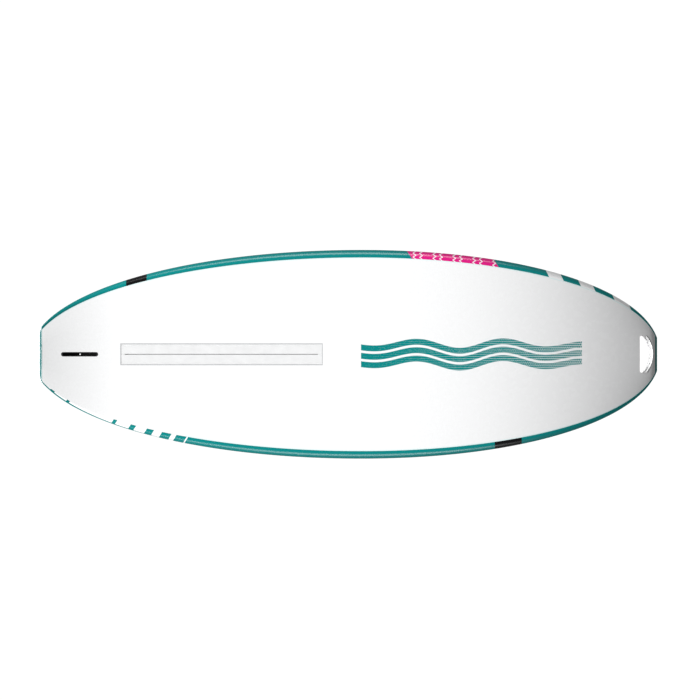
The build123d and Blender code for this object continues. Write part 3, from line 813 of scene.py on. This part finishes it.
def build_pads(material):
    """Three grooved deck pads, cut round the fittings."""
    for name, x in PADS.items():
        sheet = grooved_sheet(f"{name}_grooved", x)
        keep = prism(pad_outline(x), *PAD_CUT)
        openings = []
        if name == "deck_pad_middle":
            openings.append(fitting_opening(FRAME_X, FRAME_Y))
        if name == "deck_pad_front":
            openings.append(fitting_opening(TRACK_X, TRACK_Y))
            openings.append(prism(circle(VENT_X, 0.0, VENT_RADIUS + VENT_GAP), *FITTING_CUT))
        else:
            openings += strap_openings()
        boolean(sheet, [keep], "INTERSECT")
        boolean(sheet, openings)
        for cutter in [keep, *openings]:
            bpy.data.objects.remove(cutter)
        smooth(sheet, 25)
        finish_piece(sheet, "deck_foam", material, name)


# ---- Foot straps ----

STRAP_PLACES = {
    "front_port": (-0.64, 0.262, 8.0),
    "front_starboard": (-0.64, -0.262, -8.0),
    "rear_port": (-0.96, 0.205, 15.0),
    "rear_starboard": (-0.96, -0.205, -15.0),
}
SCREW_REACH, STRAP_LIFT, STRAP_HALF = 0.084, 0.0016, 0.025
ARCH_RADIUS = 0.0655
SLEEVE_MIDDLE, SLEEVE_HALF, SLEEVE_THICK = 0.06575, 0.031, 0.0057
SLEEVE_START, SLEEVE_STEPS, SECTION_STEPS = math.radians(14.5), 48, 34
SEAM_REACH, SEAM_SHARE, INNER_CROWN, EDGE_ROLL = 0.0262, 0.62, 0.45, 0.35
TUNNEL_Y, TUNNEL_RADII, TUNNEL_CORNER = (-0.0254, 0.0254), (0.0636, 0.0674), 0.001
WEB_TAB, WEB_LEVEL, WEB_BEND, WEB_ARCH_STEPS = (0.0995, 0.09, 0.08), 0.0015, 0.004, 40
WEB_HALF_THICK, WEB_EDGE = 0.0014, 0.0013
STITCHES, STITCH_INSET, STITCH_LIFT = 34, 0.03, 0.0001
STITCH_SIZE = (0.0021, 0.0006, 0.0006)


def strap_matrix(place):
    """Where a strap stands: flat on the slope of the deck."""
    x, y, turn = place
    along = (math.cos(math.radians(turn)), math.sin(math.radians(turn)))
    ends = [Vector((x + way * along[0], y + way * along[1], 0)) for way in (-SCREW_REACH, SCREW_REACH)]
    sides = [Vector((x - way * along[1], y + way * along[0], 0)) for way in (-STRAP_HALF, STRAP_HALF)]
    for point in ends + sides:
        point.z = deck_height(point.x, point.y)
    x_dir = (ends[1] - ends[0]).normalized()
    z_dir = x_dir.cross(sides[1] - sides[0]).normalized()
    middle = (ends[0] + ends[1]) / 2 + Vector((0, 0, STRAP_LIFT))
    turned = Matrix((x_dir, z_dir.cross(x_dir), z_dir)).transposed().to_4x4()
    return Matrix.Translation(middle) @ turned


def sleeve_height(y, inner):
    """The padding's half thickness across its width, crowned between its seams."""
    reach = abs(y)
    seam = SEAM_SHARE * SLEEVE_THICK
    if reach < SEAM_REACH:
        crown = math.sqrt(max(0.0, 1 - (reach / SEAM_REACH) ** 2))
        return seam + (SLEEVE_THICK - seam) * crown * (INNER_CROWN if inner else 1.0)
    edge = (reach - SEAM_REACH) / (SLEEVE_HALF - SEAM_REACH)
    roll = math.sqrt(max(0.0, 1 - edge * edge))
    return seam * (roll + EDGE_ROLL * math.sin(math.pi * edge) ** 2)


def sleeve_loop():
    """The padding's outer section as (y, radius) points."""
    turns = [math.pi * step / SECTION_STEPS for step in range(SECTION_STEPS + 1)]
    across = [-SLEEVE_HALF * math.cos(turn) for turn in turns]
    over = [(y, SLEEVE_MIDDLE + sleeve_height(y, False)) for y in across]
    under = [(y, SLEEVE_MIDDLE - sleeve_height(y, True)) for y in reversed(across[1:-1])]
    return over + under


def arch_rings(bm, loop, matrix):
    """Rings of a section swept round the padding's arch."""
    rings = []
    for step in range(SLEEVE_STEPS + 1):
        turn = SLEEVE_START + (math.pi - 2 * SLEEVE_START) * step / SLEEVE_STEPS
        ring = []
        for y, radius in loop:
            spot = Vector((radius * math.cos(turn), y, radius * math.sin(turn)))
            ring.append(bm.verts.new(matrix @ spot))
        rings.append(ring)
    join_rings(bm, rings)
    return rings


def edges_of(row):
    """The closed run of edges through a row of corners."""
    pairs = zip(row, row[1:] + row[:1])
    return [next(e for e in a.link_edges if e.other_vert(a) == b) for a, b in pairs]


def strap_sleeve(name, matrix, material):
    """The padded sleeve over the webbing, open where the webbing runs through."""
    bm = bmesh.new()
    outside = arch_rings(bm, sleeve_loop(), matrix)
    inside = arch_rings(bm, rounded_rectangle(TUNNEL_Y, TUNNEL_RADII, TUNNEL_CORNER), matrix)
    for outer, inner in ((outside[0], inside[0]), (outside[-1], inside[-1])):
        bmesh.ops.bridge_loops(bm, edges=edges_of(outer) + edges_of(inner))
    bmesh.ops.recalc_face_normals(bm, faces=bm.faces[:])
    sleeve = smooth(to_object(bm, f"strap_padding_{name}"), 50)
    finish_piece(sleeve, "strap_padding", material, f"strap_cover_{name}")


def web_path():
    """The webbing's centre line, from one screw tab over the arch to the other."""
    side = [(x, WEB_LEVEL) for x in (*WEB_TAB, ARCH_RADIUS + WEB_BEND)]
    for step in range(1, 6):
        turn = math.radians(-90 - 15 * step)
        x = ARCH_RADIUS + WEB_BEND + WEB_BEND * math.cos(turn)
        side.append((x, WEB_LEVEL + WEB_BEND + WEB_BEND * math.sin(turn)))
    start = math.asin((WEB_LEVEL + WEB_BEND) / ARCH_RADIUS)
    arch = []
    for step in range(WEB_ARCH_STEPS + 1):
        turn = start + (math.pi - 2 * start) * step / WEB_ARCH_STEPS
        arch.append((ARCH_RADIUS * math.cos(turn), ARCH_RADIUS * math.sin(turn)))
    return side + arch + [(-x, z) for x, z in reversed(side)]


def strap_webbing(name, matrix, material):
    """The webbing loop with soft edges."""
    bm = bmesh.new()
    path = web_path()
    thick = (-WEB_HALF_THICK, WEB_HALF_THICK)
    section = rounded_rectangle((-STRAP_HALF, STRAP_HALF), thick, WEB_EDGE)
    rings = []
    for i, (x, z) in enumerate(path):
        before, after = path[max(i - 1, 0)], path[min(i + 1, len(path) - 1)]
        run = Vector((after[0] - before[0], after[1] - before[1])).normalized()
        ring = []
        for y, lift in section:
            spot = Vector((x + run.y * lift, y, z - run.x * lift))
            ring.append(bm.verts.new(matrix @ spot))
        rings.append(ring)
    join_rings(bm, rings)
    close_ends(bm, rings)
    webbing = smooth(to_object(bm, f"strap_webbing_{name}"), 50)
    finish_piece(webbing, "webbing", material, f"strap_web_{name}")


def strap_stitching(name, matrix, material):
    """Two rows of stitches along the padding's seams."""
    bm = bmesh.new()
    radius = SLEEVE_MIDDLE + sleeve_height(SEAM_REACH, False) + STITCH_LIFT
    start = SLEEVE_START + STITCH_INSET
    for y in (-SEAM_REACH, SEAM_REACH):
        for step in range(STITCHES):
            turn = start + (math.pi - 2 * start) * step / (STITCHES - 1)
            place = Vector((radius * math.cos(turn), y, radius * math.sin(turn)))
            lean = Matrix.Rotation(math.pi / 2 - turn, 4, "Y")
            size = Matrix.Diagonal((*STITCH_SIZE, 1.0))
            spot = matrix @ Matrix.Translation(place) @ lean @ size
            bmesh.ops.create_icosphere(bm, subdivisions=2, radius=1.0, matrix=spot)
    stitches = smooth(to_object(bm, f"strap_stitching_{name}"), 60)
    finish_piece(stitches, "webbing", material)


def build_straps(padding, webbing, thread):
    """Four foot straps."""
    for name, place in STRAP_PLACES.items():
        matrix = strap_matrix(place)
        strap_sleeve(name, matrix, padding)
        strap_webbing(name, matrix, webbing)
        strap_stitching(name, matrix, thread)


# ---- Slot gasket ----

GASKET_X, SLIT_X = (-1.0296, -0.1214), (-1.012, -0.138)
GASKET_OUTER, SLIT_HALF, CLOSED_HALF = 0.0456, 0.0013, 0.00015
SLIT_INSET, SLIT_OVERRUN, SLIT_STEPS = 0.0014, 0.0006, 40
# The lip's section: its two faces, and the folding groove on its lower face
LIP_LOW, LIP_HIGH, LIP_THIN = 0.0007, 0.0027, 0.0016
LIP_MIDDLE, LIP_CORNER, SLIT_BEVEL = 0.0022, 0.0004, (0.0006, 0.0005)
LIP_UNDER_Y, LIP_OVER_Y = (0.012, 0.024), (0.030, 0.015)
HINGE_LINE, HINGE_MOUTH, HINGE_FLOOR, HINGE_DEEP = 0.039, 0.0014, 0.0005, 0.0007


def lip_profile(inner):
    """A gasket lip's section as (y, z): a folding groove outside, thinner at the slit."""
    bottom = [(inner + SLIT_BEVEL[0], LIP_LOW), *((y, LIP_LOW) for y in LIP_UNDER_Y)]
    bottom += [(HINGE_LINE - HINGE_MOUTH, LIP_LOW), (HINGE_LINE - HINGE_FLOOR, LIP_LOW + HINGE_DEEP)]
    bottom += [(HINGE_LINE + HINGE_FLOOR, LIP_LOW + HINGE_DEEP), (HINGE_LINE + HINGE_MOUTH, LIP_LOW)]
    bottom += [(GASKET_OUTER - LIP_CORNER, LIP_LOW), (GASKET_OUTER, LIP_LOW + LIP_CORNER)]
    top = [(GASKET_OUTER, LIP_HIGH), (LIP_OVER_Y[0], LIP_HIGH), (LIP_OVER_Y[1], LIP_MIDDLE)]
    top += [(inner + LIP_CORNER, LIP_THIN), (inner, LIP_THIN - LIP_CORNER)]
    top.append((inner, LIP_LOW + SLIT_BEVEL[1]))
    return bottom + top


def gasket_lip(name, side, material):
    """One soft lip of the daggerboard slot's gasket, open along the slit and closed at its ends."""
    bm = bmesh.new()
    first, last = SLIT_X[0] + SLIT_INSET, SLIT_X[1] - SLIT_INSET
    places = [(GASKET_X[0], CLOSED_HALF), (SLIT_X[0] - SLIT_OVERRUN, CLOSED_HALF)]
    for step in range(SLIT_STEPS + 1):
        places.append((first + (last - first) * step / SLIT_STEPS, SLIT_HALF))
    places += [(SLIT_X[1] + SLIT_OVERRUN, CLOSED_HALF), (GASKET_X[1], CLOSED_HALF)]
    rings = []
    for x, inner in places:
        rings.append([bm.verts.new((x, side * y, z)) for y, z in lip_profile(inner)])
    join_rings(bm, rings)
    close_ends(bm, rings)
    lip = smooth(to_object(bm, f"gasket_lip_{name}"), 30)
    finish_piece(lip, "gasket", material, f"slot_gasket_{name}")
    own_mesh(lip)


# ---- Finishes of the fixed fittings ----

def brushed(name, color):
    """Brushed stainless steel."""
    g = Graph(name)
    streaks = g.noise(120.0, 3.0, (1.0, 14.0, 14.0))
    g.relief(streaks, 0.0001, 0.2)
    tint = g.blend(streaks, color, tuple(c * 0.8 for c in color))
    return g.finish(tint, g.ranged(streaks, 0.22, 0.42), Metallic=1.0)


def fibre(name, color):
    """A glass-filled plastic blade, faintly streaked along its length, worn paler at its edges."""
    g = Graph(name)
    streaks = g.noise(18.0, 6.0, (0.35, 3.0, 1.0))
    tint = g.blend(streaks, color, tuple(c * 0.78 for c in color))
    edge = g.tree.nodes.new("ShaderNodeNewGeometry").outputs["Pointiness"]
    worn = g.calc("MULTIPLY", g.calc("GREATER_THAN", edge, 0.56), g.noise(70.0, 5.0))
    g.relief(g.noise(260.0, 3.0), 0.0002, 0.25)
    return g.finish(g.blend(worn, tint, (0.72, 0.73, 0.74)), g.ranged(streaks, 0.32, 0.48))


BEARINGS = ["pivot_blocks", "pivot_keepers", "strap_plugs"]
FOAM_BLOCKS = [name for name in nodes if name.startswith("foam_core")]


def dress_fittings():
    """Give every carried-over solid its finish."""
    steel = brushed("stainless_steel", (0.62, 0.63, 0.65))
    rubber = plain("black_rubber", (0.022, 0.022, 0.023), 0.62, 500.0, 0.0004, 0.5)
    black = plain("black_moulding", (0.012, 0.012, 0.013), 0.42, 700.0, 0.0002, 0.35)
    case = plain("well_liner", (0.56, 0.57, 0.58), 0.46)
    box = plain("fin_box_moulding", (0.008, 0.008, 0.0085), 0.5, 600.0)
    looks = {
        case: ["daggerboard_case"],
        black: ["deck_frame", "mast_track", "fin_bolt_sleeve"],
        box: ["fin_box"],
        steel: ["deck_frame_screws", "pivot_pin", "strap_screws", "strap_washers", "mast_nut"],
        rubber: ["daggerboard_grip", "friction_pads", "vent_ring"],
        fibre("blade_moulding", (0.62, 0.63, 0.64)): ["daggerboard_blade"],
        plain("bearing_moulding", (0.72, 0.71, 0.66), 0.4): BEARINGS,
        plain("bead_foam", (0.86, 0.86, 0.84), 0.85, 240.0, 0.0008, 0.8): FOAM_BLOCKS,
        plain("hard_foam", (0.7, 0.58, 0.3), 0.8, 320.0, 0.0006, 0.6): ["track_block", "fin_box_block"],
        plain("vent_moulding", MAGENTA, 0.35, 400.0): ["vent_socket"],
        plain("vent_metal", (0.55, 0.56, 0.57), 0.3, 500.0, Metallic=1.0): ["vent_screw"],
        plain("handle_liner", (0.85, 0.85, 0.855), 0.4): ["nose_handle"],
    }
    for material, names in looks.items():
        for name in names:
            nodes[name].data.materials.clear()
            nodes[name].data.materials.append(material)


# ---- Camera, light and floor ----

VIEW_WIDTH = 3.164
VIEW_DISTANCE = 40.0
SENSOR = 36.0
VIEW_CENTRE = (0.0052, -0.0194)
KEY_OFF_VERTICAL = 61.0
KEY_POWER = 6.1
OVER_POWER = 2.4
FILL_POWER = 1.25
OVER_FROM = (-0.5, 0.0, 0.85)
UNDER_SPREAD, OVER_SPREAD, FILL_SPREAD = 25, 35, 30
WORLD_LIGHT, WORLD_SEEN = 0.14, 1.05
FLOOR_REACH, FLOOR_DROP = 80.0, 0.0005


def camera():
    """A long lens straight below, with the nose to the right and port down."""
    data = bpy.data.cameras.new("camera")
    data.sensor_width = SENSOR
    data.lens = SENSOR * VIEW_DISTANCE / VIEW_WIDTH
    eye = bpy.data.objects.new("camera", data)
    bpy.context.scene.collection.objects.link(eye)
    right, up, back = Vector((1, 0, 0)), Vector((0, -1, 0)), Vector((0, 0, -1))
    turn = Matrix((right, up, back)).transposed().to_4x4()
    eye.matrix_world = Matrix.Translation((*VIEW_CENTRE, -VIEW_DISTANCE)) @ turn
    data.clip_end = 200.0
    bpy.context.scene.camera = eye


def sun_light(name, come_from, power, spread):
    """A far lamp with soft edges."""
    data = bpy.data.lights.new(name, "SUN")
    data.energy, data.angle = power, math.radians(spread)
    lamp = bpy.data.objects.new(name, data)
    bpy.context.scene.collection.objects.link(lamp)
    lamp.rotation_mode = "QUATERNION"
    lamp.rotation_quaternion = (-Vector(come_from)).to_track_quat("-Z", "Y")


def lights():
    """Wide far lights: from below the tail for the bottom, from above for the deck, level for the rails."""
    low = math.radians(KEY_OFF_VERTICAL)
    sun_light("under_key", (-math.sin(low), 0.0, -math.cos(low)), KEY_POWER, UNDER_SPREAD)
    sun_light("over_key", OVER_FROM, OVER_POWER, OVER_SPREAD)
    for side in (1, -1):
        sun_light("rail_fill", (0.0, side, 0.0), FILL_POWER, FILL_SPREAD)
    world = bpy.data.worlds.new("studio")
    bpy.context.scene.world = world
    world.use_nodes = True
    tree = world.node_tree
    ground = tree.nodes["Background"]
    seen = tree.nodes.new("ShaderNodeBackground")
    for node, strength in ((ground, WORLD_LIGHT), (seen, WORLD_SEEN)):
        node.inputs["Color"].default_value = (1, 1, 1, 1)
        node.inputs["Strength"].default_value = strength
    ray = tree.nodes.new("ShaderNodeLightPath")
    pick = tree.nodes.new("ShaderNodeMixShader")
    tree.links.new(ray.outputs["Is Camera Ray"], pick.inputs[0])
    tree.links.new(ground.outputs[0], pick.inputs[1])
    tree.links.new(seen.outputs[0], pick.inputs[2])
    tree.links.new(pick.outputs[0], tree.nodes["World Output"].inputs[0])


def floor():
    """A pale floor under the board, clear when looked at from below."""
    bm = bmesh.new()
    reach = (-FLOOR_REACH, FLOOR_REACH)
    bm.faces.new([bm.verts.new((x, y, -FLOOR_DROP)) for x, y in rectangle(reach, reach)])
    obj = to_object(bm, "floor")
    material = bpy.data.materials.new("pale_floor")
    material.use_nodes = True
    tree = material.node_tree
    shader = tree.nodes["Principled BSDF"]
    shader.inputs["Base Color"].default_value = (0.86, 0.86, 0.87, 1)
    shader.inputs["Roughness"].default_value = 0.9
    shader.inputs["Specular IOR Level"].default_value = 0.1
    side = tree.nodes.new("ShaderNodeNewGeometry")
    clear = tree.nodes.new("ShaderNodeBsdfTransparent")
    pick = tree.nodes.new("ShaderNodeMixShader")
    tree.links.new(side.outputs["Backfacing"], pick.inputs[0])
    tree.links.new(shader.outputs[0], pick.inputs[1])
    tree.links.new(clear.outputs[0], pick.inputs[2])
    tree.links.new(pick.outputs[0], tree.nodes["Material Output"].inputs[0])
    obj.data.materials.append(material)
    # Lets the light from below through to the board
    obj.visible_shadow = obj.visible_diffuse = obj.visible_glossy = False


def main():
    """Build every piece, then the studio."""
    build_hull(hull_paint("bottom_paint", True), hull_paint("deck_paint", False))
    build_pads(foam_rubber("deck_foam"))
    padding = woven("strap_neoprene", (0.05, 0.052, 0.055), 0.0016)
    webbing = woven("strap_web", (0.03, 0.03, 0.032), 0.0024)
    thread = woven("strap_thread", (0.62, 0.64, 0.66), 0.0008)
    build_straps(padding, webbing, thread)
    lip = plain("gasket_skin", (0.9, 0.905, 0.91), 0.5, 700.0)
    gasket_lip("port", 1, lip)
    gasket_lip("starboard", -1, lip)
    dress_fittings()
    camera()
    lights()
    floor()
    bpy.context.scene.view_settings.view_transform = "Standard"


main()
